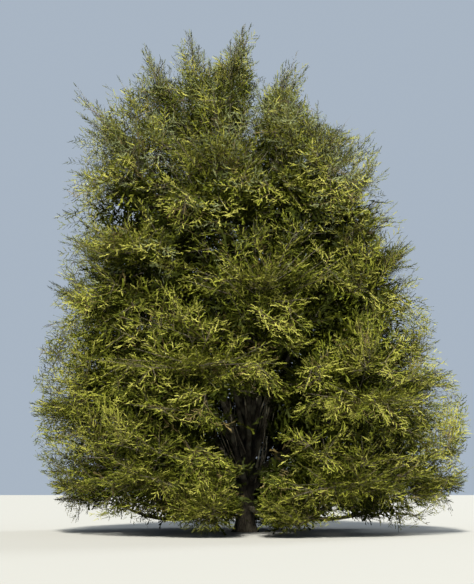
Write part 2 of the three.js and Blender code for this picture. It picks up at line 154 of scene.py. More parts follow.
leaders = [
    {"name": "left_leader", "leaveZ": 4.3, "tip": (-3.7, 0.9, 18), "leanTo": 180, "tipTilt": 82},
    {"name": "outer_leader", "leaveZ": 3.6, "tip": (-6.3, 0.2, 16.3), "leanTo": 180, "tipTilt": 48},
    {"name": "front_leader", "leaveZ": 4.9, "tip": (-2.05, -1.3, 17.75), "leanTo": 180, "tipTilt": 84},
    {"name": "right_leader", "leaveZ": 4.5, "tip": (1.96, 0.5, 17.6), "leanTo": 0, "tipTilt": 50},
]
leaderForm = {
    "leaveTilt": 76, "arriveTilt": 80, "leaveRadius": 0.084, "endRadius": 0.044, "cup": 34, "stemReach": 0.85,
    "endShare": 0.56, "endDrop": 4.9, "heartShare": 0.84, "heartDrop": 2.3,
    "topWidth": 1.5, "topEnd": 0.26, "topTrim": 0.62,
}
trunkTop = {"tip": (0.27, -0.15, 18.5), "heart": (-0.65, 0.1, 16), "leanTo": 0, "tipTilt": 62}
limbTaper = 0.75
up = np.array([0.0, 0.0, 1.0])


def seeded(seed):                 # a small repeatable source of numbers
    factor, step, span = 1664525, 1013904223, 4294967296
    state = [seed]

    def draw(low=0.0, high=1.0):
        state[0] = (state[0] * factor + step) % span
        return low + (high - low) * state[0] / span

    for i in range(3):
        draw()
    return draw


def mix(first, last, share):
    return first + (last - first) * share


def unit(vector):
    return vector / np.linalg.norm(vector)


def heading(azimuth, tilt):
    turn, rise = math.radians(azimuth), math.radians(tilt)
    return np.array([math.cos(rise) * math.cos(turn), math.cos(rise) * math.sin(turn), math.sin(rise)])


def pointAt(azimuth, reach, z):
    return heading(azimuth, 0) * reach + up * z


def outlineAt(z):
    rows = crownOutline
    return np.interp(z, rows["z"], rows["reach"]), np.interp(z, rows["z"], rows["drift"])


def reachAt(azimuth, z):
    reach, drift = outlineAt(z)
    across = drift * math.sin(math.radians(azimuth))
    return drift * math.cos(math.radians(azimuth)) + math.sqrt(reach * reach - across * across)


def swept(start, leaving, end, arriving):
    third = np.linalg.norm(end - start) / 3
    return np.array([start, start + leaving * third, end - arriving * third, end])


def pointOn(curve, share):
    left = 1 - share
    return (curve[0] * left ** 3 + 3 * curve[1] * left ** 2 * share
            + 3 * curve[2] * left * share ** 2 + curve[3] * share ** 3)


def headingOn(curve, share):
    left = 1 - share
    return unit((curve[1] - curve[0]) * left ** 2 + 2 * (curve[2] - curve[1]) * left * share
                + (curve[3] - curve[2]) * share ** 2)


def squareTo(direction, wanted):
    side = unit(wanted - direction * np.dot(direction, wanted))
    return side, np.cross(side, direction)


def levelSide(direction):
    return unit(np.cross(direction, up))


def turned(vector, axis, angle):
    cosine, sine = math.cos(angle), math.sin(angle)
    return vector * cosine + np.cross(axis, vector) * sine + axis * np.dot(axis, vector) * (1 - cosine)


def trunkPoint(z):
    low, high = 0.0, 1.0
    for i in range(trunk["halvings"]):
        middle = (low + high) / 2
        if pointOn(trunk["line"], middle)[2] < z:
            low = middle
        else:
            high = middle
    return pointOn(trunk["line"], low)


def boughSpec(tier, index):
    draw = seeded(seedOfTree + round(tier["leaveZ"] * seedsPerMetre) + index)
    azimuth = tier["azimuths"][index] + (draw() - 0.5) * azimuthPlay
    rise = tier["sway"] * ((index % 2) - 0.5) + (draw() - 0.5) * heightPlay
    leaveZ = tier["leaveZ"] + tier["stagger"] * ((index % 3) - 1)
    end = pointAt(azimuth, tier["endReach"], tier["endZ"] + rise)
    end[0] += outlineAt(end[2])[1] * tier["endReach"] / tier["heartReach"]
    heart = pointAt(azimuth, tier["heartReach"], tier["heartZ"] + rise)
    heart[0] += outlineAt(heart[2])[1]
    arriving = heading(azimuth, tier["arriveTilt"])
    tipZ = tier["tipZ"] + rise
    return {
        "name": f"{tier['name']}_bough_{index + 1}", "mass": f"{tier['name']}_foliage_{index + 1}",
        "group": tier["name"], "side": heading(azimuth - 90, 0), "azimuth": azimuth,
        "line": swept(trunkPoint(leaveZ), heading(azimuth, tier["leaveTilt"]), end, arriving),
        "leaveRadius": tier["leaveRadius"], "endRadius": tier["endRadius"], "endHeading": arriving,
        "cup": tier["cup"], "spread": tier["spread"], "stemReach": growth["stemReach"], "isTop": False,
        "heart": heart, "tip": pointAt(azimuth, reachAt(azimuth, tipZ), tipZ),
        "atTip": heading(azimuth, tier["tipTilt"]),
    }


def leaderSpec(leader):
    form = leaderForm
    tip = np.array(leader["tip"], float)
    azimuth = math.degrees(math.atan2(tip[1], tip[0]))
    level = tip * (1, 1, 0)
    end = level * form["endShare"] + up * (tip[2] - form["endDrop"])
    arriving = heading(azimuth, form["arriveTilt"])
    return {
        "name": leader["name"], "mass": f"{leader['name']}_foliage", "group": "tops",
        "side": heading(azimuth - 90, 0), "azimuth": azimuth,
        "line": swept(trunkPoint(leader["leaveZ"]), heading(azimuth, form["leaveTilt"]), end, arriving),
        "leaveRadius": form["leaveRadius"], "endRadius": form["endRadius"], "endHeading": arriving,
        "cup": form["cup"], "spread": 1, "stemReach": form["stemReach"], "isTop": True,
        "heart": level * form["heartShare"] + up * (tip[2] - form["heartDrop"]), "tip": tip,
        "atTip": heading(leader["leanTo"], leader["tipTilt"]),
    }


def trunkTopSpec():
    form = leaderForm
    return {
        "name": "trunk", "mass": "crown_top_foliage", "group": "tops", "side": np.array([0.0, 1.0, 0.0]),
        "azimuth": 180, "line": trunk["line"], "endRadius": trunk["tipRadius"], "endHeading": up,
        "cup": form["cup"], "spread": 1, "stemReach": form["stemReach"], "isTop": True,
        "heart": np.array(trunkTop["heart"]), "tip": np.array(trunkTop["tip"]),
        "atTip": heading(trunkTop["leanTo"], trunkTop["tipTilt"]),
    }


growth = {
    "stemReach": 0.62, "stemRootShare": 0.9, "firstTwig": 0.06, "lastTwig": 0.88, "tipTwig": 0.94,
    "openAtFoot": 76, "openAtTip": 34, "goldenTurn": 137.508, "firstRoll": 60, "longestTwig": 3.6,
    "marchStep": 0.1, "wallMargin": 0.03, "limbClearance": 0.025, "boxMargin": 0.04, "beads": 40,
    "limbKnots": (0.4, 0.5, 0.6, 0.7, 0.8, 0.9, 1.0),
    # the leafy body's share of the reach by height, which the ends use in full
    "trimZ": [5, 9, 13], "trim": [0.97, 0.93, 0.9],
}
layers = [(0.5, -1.2), (0.3, 1.15), (0.98, 0)]      # share of the stem, and rise above it
topLayers = [(0.05, 0), (0.3, 0), (0.52, 0)]
layer = {"forward": 3.3, "backward": 1.3, "lowestCentre": 0.45, "levelling": 0.45}
frontOpening = {
    "x": 0.1, "halfWidth": 0.85, "highZ": 4.5, "footHalfWidth": 0.26, "footZ": 2.2, "wave": 0.55, "ripple": 5,
}
hollows = [               # where the photograph shows dark gaps, and the right shoulder
    {"centre": (2.7, -5.4, 6.9), "size": (0.75, 1.3, 0.8)},
    {"centre": (1.75, -4.4, 3.1), "size": (0.6, 1.6, 0.6)},
    {"centre": (-3.6, -4.8, 8.4), "size": (0.8, 1.4, 0.5)},
    {"centre": (-4.2, -3.6, 10.6), "size": (0.8, 1.6, 0.5)},
    {"centre": (3.9, 0, 15.3), "size": (1.7, 5, 0.85)},
    {"centre": (3.6, -3.2, 14.4), "size": (1.35, 2.5, 0.85)},
]
notches = [               # x, z and half width of the notches between the boughs' ends at the sides
    (5.6, 12.05, 1.5), (6.0, 10.4, 1.3), (6.7, 8.15, 1.3), (7.3, 6.1, 1.0),
    (-6.5, 13.3, 0.8), (-6.6, 11.6, 0.8), (-6.9, 9.9, 0.8), (-7.3, 7.6, 0.8),
]
notchDepth, notchHeight = 3.4, 0.42
hollows += [{"centre": (x, 0, z), "size": (half, notchDepth, notchHeight)} for x, z, half in notches]


def stemLine(spec):
    root = pointOn(spec["line"], 1.0) + spec["endHeading"] * meetingGap
    return swept(root, spec["endHeading"], mix(root, spec["tip"], spec["stemReach"]), spec["atTip"])


hem = {
    "low": 0.06, "high": 1.05, "even": 0.78, "play": 0.5,
    "wave": 0.8, "seed": 4.0, "cross": 1.3, "crossSeed": 1, "fineX": 2.9, "fineY": 2.3,
    # x, y and half width of the places where the sprays hang lower
    "dips": [(-1.4, -5.6, 1.7), (1.6, -5.6, 1.6), (5.6, -3.6, 1.2), (-4.7, -4.6, 1.1), (0.4, 4.4, 2.6)],
}


def lowestAt(points):             # the crown's foot, higher in some places than in others
    x, y = points[:, 0], points[:, 1]
    broadX, broadY = x * hem["wave"], y * hem["wave"]
    sway = np.sin(broadX + hem["seed"]) * np.sin(broadY * hem["cross"] + hem["crossSeed"])
    sway += hem["play"] * np.sin(broadX * hem["fineX"]) * np.cos(broadY * hem["fineY"])
    lifted = np.clip(hem["even"] + hem["play"] * sway, 0, 1)
    for dipX, dipY, half in hem["dips"]:
        lifted *= 1 - np.exp(-((x - dipX) ** 2 + (y - dipY) ** 2) / half ** 2)
    return mix(hem["low"], hem["high"], lifted)


class Space:                      # a mass's own space
    def __init__(self, spec, hearts):
        self.spec = spec
        others = np.array([heart for heart in hearts if heart is not spec["heart"]])
        away = others - spec["heart"]
        self.normals = away / np.linalg.norm(away, axis=1)[:, None]
        self.offsets = (self.normals * (others + spec["heart"]) / 2).sum(1) - growth["wallMargin"]

    def inCell(self, points):
        margin = growth["boxMargin"]
        inBox = ((points > cadBox[0] + margin) & (points < cadBox[1] - margin)).all(1)
        return inBox & (points[:, 2] > lowestAt(points)) & (points @ self.normals.T < self.offsets).all(1)

    def inOutline(self, points, whole):
        reach, drift = outlineAt(points[:, 2])
        trim = 1 if whole else np.interp(points[:, 2], growth["trimZ"], growth["trim"])
        inside = np.hypot(points[:, 0] - drift, points[:, 1]) < reach * trim
        heart, tip = self.spec["heart"], self.spec["tip"]
        if not self.spec["isTop"]:
            return inside
        share = np.clip((points[:, 2] - heart[2]) / (tip[2] - heart[2]), 0, 1)
        middle = heart + (tip - heart) * share[:, None]
        width = mix(leaderForm["topWidth"], leaderForm["topEnd"], share)
        width = width * (1 if whole else leaderForm["topTrim"])
        narrow = np.hypot(points[:, 0] - middle[:, 0], points[:, 1] - middle[:, 1]) < width
        return np.where(points[:, 2] > heart[2], narrow & (points[:, 2] < tip[2]), inside)

    def inOpening(self, points):
        form = frontOpening
        width = np.where(points[:, 2] < form["footZ"], form["footHalfWidth"], form["halfWidth"])
        width = width * (1 + form["wave"] * np.sin(points[:, 2] * form["ripple"] + points[:, 0]))
        inFront = (points[:, 1] < 0) & (points[:, 2] < form["highZ"])
        hidden = inFront & (np.abs(points[:, 0] - form["x"]) < width)
        for hollow in hollows:
            away = (points - hollow["centre"]) / hollow["size"]
            hidden |= (away ** 2).sum(1) < 1
        return hidden

    def holds(self, points, whole=False):
        return self.inCell(points) & self.inOutline(points, whole) & ~self.inOpening(points)

    def runFrom(self, point, direction, longest, whole=False):
        steps = np.arange(0, longest + growth["marchStep"], growth["marchStep"])
        held = self.holds(point + direction * steps[:, None], whole)
        return steps[-1] if held.all() else steps[np.argmin(held)] - growth["marchStep"]


def radiusOn(spec, share):
    return mix(spec["leaveRadius"], spec["endRadius"], share ** limbTaper)


def trunkRadius(share, z, angle):
    lobes = 0.5 + 0.5 * math.cos(trunk["rootLobes"] * angle)
    shaft = mix(trunk["footRadius"], trunk["tipRadius"], share ** trunk["taperPower"])
    return shaft + trunk["flare"] * math.exp(-z / trunk["flareHeight"]) * lobes


specs = [boughSpec(tier, index) for tier in tiers for index in range(len(tier["azimuths"]))]
specs += [leaderSpec(leader) for leader in leaders]
carriers = specs + [trunkTopSpec()]
hearts = [spec["heart"] for spec in carriers]


def beadsOn(spec):                # where a limb is, as a row of points with radii
    shares = np.linspace(0, 1, growth["beads"])
    places = np.array([pointOn(spec["line"], share) for share in shares])
    if spec["name"] == "trunk":
        radii = [trunkRadius(share, place[2], 0) for share, place in zip(shares, places)]
    else:
        radii = [radiusOn(spec, share) for share in shares]
    return places, np.array(radii)


beads = [beadsOn(spec) for spec in carriers]
beadPlaces = np.concatenate([places for places, radii in beads])
beadRadii = np.concatenate([radii for places, radii in beads]) + growth["limbClearance"]


def clearsLimbs(points):
    away = np.linalg.norm(points[:, None] - beadPlaces, axis=2) - beadRadii
    return away.min(1) > 0


# Bark

bark = {
    "trunkSides": 40, "trunkRings": 110, "limbSides": 14, "limbRings": 40,
    "plateDepth": 0.016, "limbDepth": 0.007, "bendDepth": 0.03, "bendWaves": 5,
    "around": 1.6, "along": 0.55, "plateScale": 2.2, "plates": 0.7, "grainScale": 6.1, "grain": 0.5,
    "footCrowding": 1.5, "smootherTop": 0.7, "trunkSeed": 3, "firstLimbSeed": 5,
    "dark": (0.018, 0.015, 0.011), "mid": (0.055, 0.047, 0.033), "pale": (0.16, 0.15, 0.105),
}
barkLooksAndPaintedLight = {          # the pattern's scale, the share of pale patches (lichen, and on boughs and stems painted light as well), and how many times lighter (painted light on limbs in the crown's shade)
    "trunkBark": (16, 0.25, 1), "litBoughBark": (24, 0.7, 2), "litStemBark": (30, 0.9, 9),
}


def addNode(nodes, kind, constants=None, **settings):
    node = nodes.new(kind)
    for name, value in settings.items():
        setattr(node, name, value)
    for name, value in (constants or {}).items():
        node.inputs[name].default_value = value
    return node


def barkGroup():
    group = bpy.data.node_groups.new("ridgedBark", "ShaderNodeTree")
    sockets = {
        "INPUT": {"Dark": "Color", "Mid": "Color", "Pale": "Color", "Scale": "Float", "LichenAndLight": "Float"},
        "OUTPUT": {"Color": "Color", "Height": "Float", "Roughness": "Float"},
    }
    for way, kinds in sockets.items():
        for name, kind in kinds.items():
            group.interface.new_socket(name, in_out=way, socket_type=f"NodeSocket{kind}")
    nodes, link = group.nodes, group.links.new
    entry, leave = nodes.new("NodeGroupInput"), nodes.new("NodeGroupOutput")
    place = addNode(nodes, "ShaderNodeAttribute", attribute_name="alongLimb")
    stretch = addNode(nodes, "ShaderNodeMapping", {"Scale": (1, 1, 0.16)})
    ridges = addNode(nodes, "ShaderNodeTexNoise", {"Detail": 4, "Roughness": 0.62})
    cracks = addNode(nodes, "ShaderNodeTexVoronoi", feature="DISTANCE_TO_EDGE")
    patches = addNode(nodes, "ShaderNodeTexNoise", {"Scale": 2.3})
    link(place.outputs["Vector"], stretch.inputs["Vector"])
    for texture in (ridges, cracks):
        link(stretch.outputs["Vector"], texture.inputs["Vector"])
        link(entry.outputs["Scale"], texture.inputs["Scale"])
    link(place.outputs["Vector"], patches.inputs["Vector"])
    spread = addNode(nodes, "ShaderNodeMapRange", {"From Max": 0.16})
    link(cracks.outputs["Distance"], spread.inputs["Value"])
    height = addNode(nodes, "ShaderNodeMath", operation="MULTIPLY")
    link(ridges.outputs["Fac"], height.inputs[0])
    link(spread.outputs["Result"], height.inputs[1])
    tone = addNode(nodes, "ShaderNodeMapRange", {"From Min": 0.08, "From Max": 0.55})
    link(height.outputs["Value"], tone.inputs["Value"])
    plates = addNode(nodes, "ShaderNodeMix", data_type="RGBA")
    link(tone.outputs["Result"], plates.inputs["Factor"])
    link(entry.outputs["Dark"], plates.inputs["A"])
    link(entry.outputs["Mid"], plates.inputs["B"])
    # pale patches: lichen, and where the share is high, painted light too
    bloom = addNode(nodes, "ShaderNodeMapRange", {"From Min": 0.5, "From Max": 0.68})
    link(patches.outputs["Fac"], bloom.inputs["Value"])
    weight = addNode(nodes, "ShaderNodeMath", operation="MULTIPLY")
    link(bloom.outputs["Result"], weight.inputs[0])
    link(entry.outputs["LichenAndLight"], weight.inputs[1])
    patchy = addNode(nodes, "ShaderNodeMix", data_type="RGBA")
    link(weight.outputs["Value"], patchy.inputs["Factor"])
    link(plates.outputs["Result"], patchy.inputs["A"])
    link(entry.outputs["Pale"], patchy.inputs["B"])
    rough = addNode(nodes, "ShaderNodeMapRange", {"To Min": 0.98, "To Max": 0.82})
    link(height.outputs["Value"], rough.inputs["Value"])
    link(patchy.outputs["Result"], leave.inputs["Color"])
    link(height.outputs["Value"], leave.inputs["Height"])
    link(rough.outputs["Result"], leave.inputs["Roughness"])
    return group


ridgedBark = barkGroup()


def barkMaterial(name):
    # lift lightens all the bark's tones: painted light on boughs and stems that stand in the crown's shade
    scale, lichenAndLight, lift = barkLooksAndPaintedLight[name]
    material = bpy.data.materials.new(name)
    material.use_nodes = True
    nodes, link = material.node_tree.nodes, material.node_tree.links.new
    shader = nodes["Principled BSDF"]
    pattern = addNode(nodes, "ShaderNodeGroup", {"Scale": scale, "LichenAndLight": lichenAndLight}, node_tree=ridgedBark)
    for tone in ("dark", "mid", "pale"):
        pattern.inputs[tone.capitalize()].default_value = [value * lift for value in bark[tone]] + [1]
    bump = addNode(nodes, "ShaderNodeBump", {"Strength": 0.9, "Distance": 0.02})
    link(pattern.outputs["Color"], shader.inputs["Base Color"])
    link(pattern.outputs["Roughness"], shader.inputs["Roughness"])
    link(pattern.outputs["Height"], bump.inputs["Height"])
    link(bump.outputs["Normal"], shader.inputs["Normal"])
    shader.inputs["Specular IOR Level"].default_value = 0.2
    return material


def limbShape(sides, rings, placeOn):     # a cone's rings, moved onto the limb's line
    shape = bmesh.new()
    bmesh.ops.create_cone(shape, cap_ends=True, segments=sides, radius1=1, radius2=1, depth=1)
    upright = [edge for edge in shape.edges if abs(edge.verts[0].co.z - edge.verts[1].co.z) > 0.5]
    bmesh.ops.subdivide_edges(shape, edges=upright, cuts=rings - 1)
    along = shape.verts.layers.float_vector.new("alongLimb")
    for vert in shape.verts:
        share, angle = vert.co.z + 0.5, math.atan2(vert.co.y, vert.co.x)
        vert.co, vert[along] = placeOn(share, angle)
    bmesh.ops.recalc_face_normals(shape, faces=shape.faces)
    return shape


def ridge(angle, along, seed):            # long plates with grooves between them
    turn = bark["around"]
    place = Vector((math.cos(angle) * turn, math.sin(angle) * turn, along * bark["along"] + seed))
    plates = 1 - abs(noise.noise(place * bark["plateScale"])) * 2
    grain = noise.noise(place * bark["grainScale"])
    return plates * bark["plates"] + grain * bark["grain"]


def addPiece(name, mesh, materials, nodes):
    for material in materials:
        mesh.materials.append(material)
    piece = bpy.data.objects.new(name, mesh)
    scene.collection.objects.link(piece)
    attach(piece, "root")
    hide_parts(*nodes)
    return piece


def meshFrom(shape, name):
    mesh = bpy.data.meshes.new(name)
    shape.to_mesh(mesh)
    shape.free()
    mesh.shade_smooth()
    return mesh


def trunkPlace(share, angle):
    station = share ** bark["footCrowding"]
    place = pointOn(trunk["line"], station)
    plates = ridge(angle, place[2], bark["trunkSeed"])
    relief = bark["plateDepth"] * plates * (1 - bark["smootherTop"] * share)
    radius = trunkRadius(station, place[2], angle) + relief
    spot = place + radius * np.array([math.cos(angle), math.sin(angle), 0])
    if share in (0, 1):
        spot[2] = place[2]
    local = (math.cos(angle) * radius, math.sin(angle) * radius, place[2])
    return spot, local


def limbPlace(spec, seed):
    cuts = 20
    line = [pointOn(spec["line"], k / cuts) for k in range(cuts + 1)]
    length = np.linalg.norm(np.diff(line, axis=0), axis=1).sum()

    def placeOn(share, angle):
        middle = pointOn(spec["line"], share)
        side, lift = squareTo(headingOn(spec["line"], share), spec["side"])
        sway = noise.noise_vector(Vector((share * bark["bendWaves"], seed, 0)))
        sway = sway * bark["bendDepth"] * math.sin(math.pi * share)
        radius = radiusOn(spec, share) + bark["limbDepth"] * ridge(angle, share * length, seed)
        spot = middle + np.array(sway) + radius * (side * math.cos(angle) + lift * math.sin(angle))
        return spot, (math.cos(angle) * radius, math.sin(angle) * radius, share * length + seed)

    return placeOn


def growBark():
    trunkBark, litBoughBark = barkMaterial("trunkBark"), barkMaterial("litBoughBark")
    shape = limbShape(bark["trunkSides"], bark["trunkRings"], trunkPlace)
    addPiece("trunk_bark", meshFrom(shape, "trunk_bark"), [trunkBark], ["trunk"])
    for index, spec in enumerate(specs):
        name = f"{spec['name']}_bark"
        placeOn = limbPlace(spec, index + bark["firstLimbSeed"])
        shape = limbShape(bark["limbSides"], bark["limbRings"], placeOn)
        addPiece(name, meshFrom(shape, name), [litBoughBark], [spec["name"]])


slimStem = {
    "count": 34, "tiers": ("lower", "middle", "upper"), "seed": 77,
    "leave": (0.04, 0.3), "climb": (1.4, 3.4), "lean": (58, 84), "fanOut": 60, "turnUp": (-0.4, 0.5),
    "radius": (0.016, 0.036), "taper": 0.72, "sides": 7, "rings": 14,
    "sway": 0.12, "swayWaves": 4, "swaySeed": 7, "side": np.array([0.0, 1.0, 0.02]), "barkLength": 2,
}


def slimPlace(line, radius, seed):
    def placeOn(share, angle):
        side, lift = squareTo(headingOn(line, share), slimStem["side"])
        sway = noise.noise_vector(Vector((share * slimStem["swayWaves"], seed, slimStem["swaySeed"])))
        here = radius * (1 - slimStem["taper"] * share)
        spot = pointOn(line, share) + np.array(sway) * slimStem["sway"] * share
        spot = spot + here * (side * math.cos(angle) + lift * math.sin(angle))
        return spot, (math.cos(angle) * here, math.sin(angle) * here, share * slimStem["barkLength"] + seed)

    return placeOn


def growSlimStems():              # slender stems that climb from the feet of the boughs
    draw = seeded(seedOfTree + slimStem["seed"])
    joined = bmesh.new()
    feet = [spec for spec in specs if spec["group"] in slimStem["tiers"]]
    for k in range(slimStem["count"]):
        spec = feet[k % len(feet)]
        start = pointOn(spec["line"], draw(*slimStem["leave"]))
        azimuth = spec["azimuth"] + draw(-1, 1) * slimStem["fanOut"]
        leaving = heading(azimuth, draw(*slimStem["lean"]))
        climb = draw(*slimStem["climb"])
        arriving = unit(leaving + up * draw(*slimStem["turnUp"]))
        line = swept(start, leaving, start + unit(leaving + arriving) * climb, arriving)
        placeOn = slimPlace(line, draw(*slimStem["radius"]), k)
        mesh = meshFrom(limbShape(slimStem["sides"], slimStem["rings"], placeOn), "slimStem")
        joined.from_mesh(mesh)
        bpy.data.meshes.remove(mesh)
    mesh = meshFrom(joined, "slim_stems")
    # the slim stems' bark much lightened and paler: painted light
    addPiece("slim_stems", mesh, [barkMaterial("litStemBark")], ["trunk"])


noise.seed_set(seedOfTree)        # so that the limbs bend the same way each run
growBark()
growSlimStems()
print("bark grown")

# Twigs: tapering tubes, joined from arrays

twig = {
    "stemSides": 6, "stemRings": 8, "leastStemRadius": 0.004,
    "radius": 0.024, "spiralRadius": 0.02, "points": 5, "taper": 0.8, "endOverlap": 0.2, "endLift": 0.6,
    "play": (0.85, 1.0), "shortest": 0.35, "leastWood": 0.2, "leafyTip": 0.35, "reachingLeafyTip": 1.2,
}
sideTwig = {
    "radius": 0.009, "thinning": 0.6, "bend": (-0.12, 0.1), "leastWood": 0.05, "leafyTip": 0.3,
    "gap": 0.31, "first": 0.12, "last": 0.98, "shift": (0.2, 0.8),
    "angle": 52, "anglePlay": 10, "rollPlay": 40, "pitchPlay": 12,
    "length": 0.75, "lengthPlay": (0.7, 1.15), "atFoot": 1.15, "lessAtTip": 0.5,
}
nudge, slightNudge = 0.01, 0.001      # keep a side square to an axis that may stand upright


class Heap:                       # vertices and triangles gathered for one joined mesh
    def __init__(self):
        self.verts, self.faces, self.shades, self.count = [], [], [], 0

    def add(self, verts, faces, shade=0):
        self.verts.append(verts)
        self.faces.append(faces + self.count)
        self.shades.append(np.zeros(len(faces), int) + shade)
        self.count += len(verts)


def gathered(heap):
    return np.concatenate(heap.verts), np.concatenate(heap.faces), np.concatenate(heap.shades)


def joinedMesh(name, heap):
    verts, faces, shades = gathered(heap)
    mesh = bpy.data.meshes.new(name)
    mesh.vertices.add(len(verts))
    mesh.vertices.foreach_set("co", verts.astype(np.float32).ravel())
    mesh.loops.add(faces.size)
    mesh.loops.foreach_set("vertex_index", faces.astype(np.int32).ravel())
    mesh.polygons.add(len(faces))
    mesh.polygons.foreach_set("loop_start", np.arange(0, faces.size, 3, dtype=np.int32))
    mesh.polygons.foreach_set("material_index", shades.astype(np.int32))
    mesh.update(calc_edges=True)
    mesh.validate()
    return mesh


def addTube(heap, places, radii, side, sides=3):    # rings along a path, the last a point
    rings = len(places)
    angles = np.arange(sides) * 2 * math.pi / sides
    verts = []
    for k in range(rings - 1):
        along = unit(places[k + 1] - places[max(0, k - 1)])
        across, lift = squareTo(along, side)
        ring = np.outer(np.cos(angles), across) + np.outer(np.sin(angles), lift)
        verts.append(places[k] + ring * radii[k])
    verts.append(places[-1][None])
    faces = []
    for k in range(rings - 2):
        for i in range(sides):
            a, b = k * sides + i, k * sides + (i + 1) % sides
            faces += [(a, b, b + sides), (a, b + sides, a + sides)]
    tip, base = (rings - 1) * sides, (rings - 2) * sides
    faces += [(base + i, base + (i + 1) % sides, tip) for i in range(sides)]
    heap.add(np.concatenate(verts), np.array(faces))


def bentPoint(start, direction, length, bend, share):
    return start + direction * length * share + up * bend * length * share ** 2


def bentPath(start, direction, length, bend, count):
    return bentPoint(start, direction, length, bend, np.linspace(0, 1, count)[:, None])


def openedOut(axis, side, lift, roll, opening):     # away from the axis, on the side that roll picks
    roll, opening = math.radians(roll), math.radians(opening)
    away = side * math.cos(roll) + lift * math.sin(roll)
    return axis * math.cos(opening) + away * math.sin(opening)


# Sprays: patterns of slender toothed shoots, dealt onto the twigs

spray = {
    "gap": 0.21, "shift": (0.3, 0.8), "angle": 46, "length": 0.66, "play": (0.75, 1.2), "shortest": 0.16,
    "roll": 44, "pitch": 20, "level": 0.4,
    "patterns": 24, "seed": 900, "arch": (-0.06, 0.12), "ribWidth": 0.026, "width": 0.19, "teeth": 4,
    "shoots": 7, "footShoot": 0.06, "lastShoot": 0.84, "shootShift": 0.3,
    "nearShoot": 0.5, "farShoot": 0.32, "shootPlay": (0.8, 1.15),
    "footAngle": 58, "tipAngle": 34, "anglePlay": 12, "shootRise": (-20, 24), "shootRoll": 50,
    "bow": (-0.14, 0.26),
    "endFrom": 0.66, "endLength": 0.36, "endWidth": 0.15, "endRise": (-0.1, 0.2),
}
# sprays deep in the crown; they mostly take the darker tones there, painted shade
innerSpray = {
    "from": 0.72, "z": [11, 15.5], "share": [1, 0],      # where the crown is deep enough for them
    "grown": 1.55, "patterns": 10, "seed": 700, "shoots": 6, "footShoot": 0.03, "lastShoot": 0.78,
    "shoot": 0.48, "play": (0.8, 1.2), "width": 0.3, "teeth": 3, "turn": (20, 70), "rise": (-50, 55),
}
lineShoot = {"patterns": 8, "seed": 500, "teeth": 6, "width": 0.18}
tooth = {                         # in teeth, but for the widths, which are shares of the shoot's
    "spare": 0.6, "foot": 1.6, "tip": 2.1, "tipSpare": 1.1,
    "footWidth": -0.12, "farWidth": 0.35, "splay": 0.5,
}
ribMark = 9                       # the shift that marks a rib, which takes the twigs' brown


def toothedShoot(root, direction, lift, length, form, draw):     # a bent row of broad-footed teeth
    side = np.cross(lift, direction)
    roll = math.radians(draw(-spray["shootRoll"], spray["shootRoll"]))
    flat = side * math.cos(roll) + lift * math.sin(roll)
    out = np.cross(direction, flat)
    bow = lift * draw(*spray["bow"])
    count, foot = form["teeth"], tooth["footWidth"]
    verts, faces = [], []
    for k in range(count):
        near, far = k / (count + tooth["spare"]), (k + tooth["foot"]) / (count + tooth["spare"])
        reach = (k + tooth["tip"]) / (count + tooth["tipSpare"])
        way = flat * (1 if k % 2 else -1) + out * draw(-tooth["splay"], tooth["splay"])
        for along, wide in ((near, foot), (far, foot), (reach, mix(1, tooth["farWidth"], reach))):
            offset = way * form["width"] * wide
            verts.append(root + (direction * along + bow * along * along + offset) * length)
        faces.append((3 * k, 3 * k + 1, 3 * k + 2))
    return np.array(verts), np.array(faces)


def sprayPattern(seed):           # a rib one unit long with shoots on both sides
    draw = seeded(seed)
    heap = Heap()
    ahead, across, lift = np.eye(3)
    arch = draw(*spray["arch"])
    half = across * spray["ribWidth"] / 2
    heap.add(np.array([half, -half, ahead]), np.array([(0, 1, 2)]), ribMark)
    for k in range(spray["shoots"]):
        station = (k + draw(-spray["shootShift"], spray["shootShift"])) / (spray["shoots"] - 1)
        share = mix(spray["footShoot"], spray["lastShoot"], station)
        turn = mix(spray["footAngle"], spray["tipAngle"], share)
        turn += draw(-spray["anglePlay"], spray["anglePlay"])
        direction = heading(turn * (1 if k % 2 else -1), draw(*spray["shootRise"]))
        length = mix(spray["nearShoot"], spray["farShoot"], share) * draw(*spray["shootPlay"])
        root = ahead * share + lift * arch * math.sin(share * math.pi)
        plane = squareTo(direction, lift)[0]
        heap.add(*toothedShoot(root, direction, plane, length, spray, draw), (-1, 0, 1)[k % 3])
    # the end shoot one tone lighter: painted light on the spray's tip
    direction = unit(ahead + lift * draw(*spray["endRise"]))
    form = {"width": spray["endWidth"], "teeth": spray["teeth"]}
    plane = squareTo(direction, lift)[0]
    heap.add(*toothedShoot(ahead * spray["endFrom"], direction, plane, spray["endLength"], form, draw), -1)
    return gathered(heap)


def innerPattern(seed):           # fewer and broader shoots, where the crown is deep; every third one a tone darker, painted shade
    draw = seeded(seed)
    heap = Heap()
    ahead, across, lift = np.eye(3)
    for k in range(innerSpray["shoots"]):
        share = mix(innerSpray["footShoot"], innerSpray["lastShoot"], k / (innerSpray["shoots"] - 1))
        turn = draw(*innerSpray["turn"]) * (1 if k % 2 else -1)
        direction = heading(turn, draw(*innerSpray["rise"]))
        length = innerSpray["shoot"] * draw(*innerSpray["play"])
        plane = squareTo(direction, lift)[0]
        heap.add(*toothedShoot(ahead * share, direction, plane, length, innerSpray, draw), (0, 0, 1)[k % 3])
    return gathered(heap)


def shootPattern(seed):           # one shoot alone, one unit long
    heap = Heap()
    ahead, across, lift = np.eye(3)
    heap.add(*toothedShoot(ahead * 0, ahead, lift, 1, lineShoot, seeded(seed)), 0)
    return gathered(heap)


families = ((sprayPattern, spray), (innerPattern, innerSpray), (shootPattern, lineShoot))
patterns = [[rule(form["seed"] + k) for k in range(form["patterns"])] for rule, form in families]
fine, inner, single = range(3)


def outernessOf(points):          # 0 on the crown's middle line, 1 on its outline
    reach, drift = outlineAt(points[:, 2])
    return np.hypot(points[:, 0] - drift, points[:, 1]) / reach
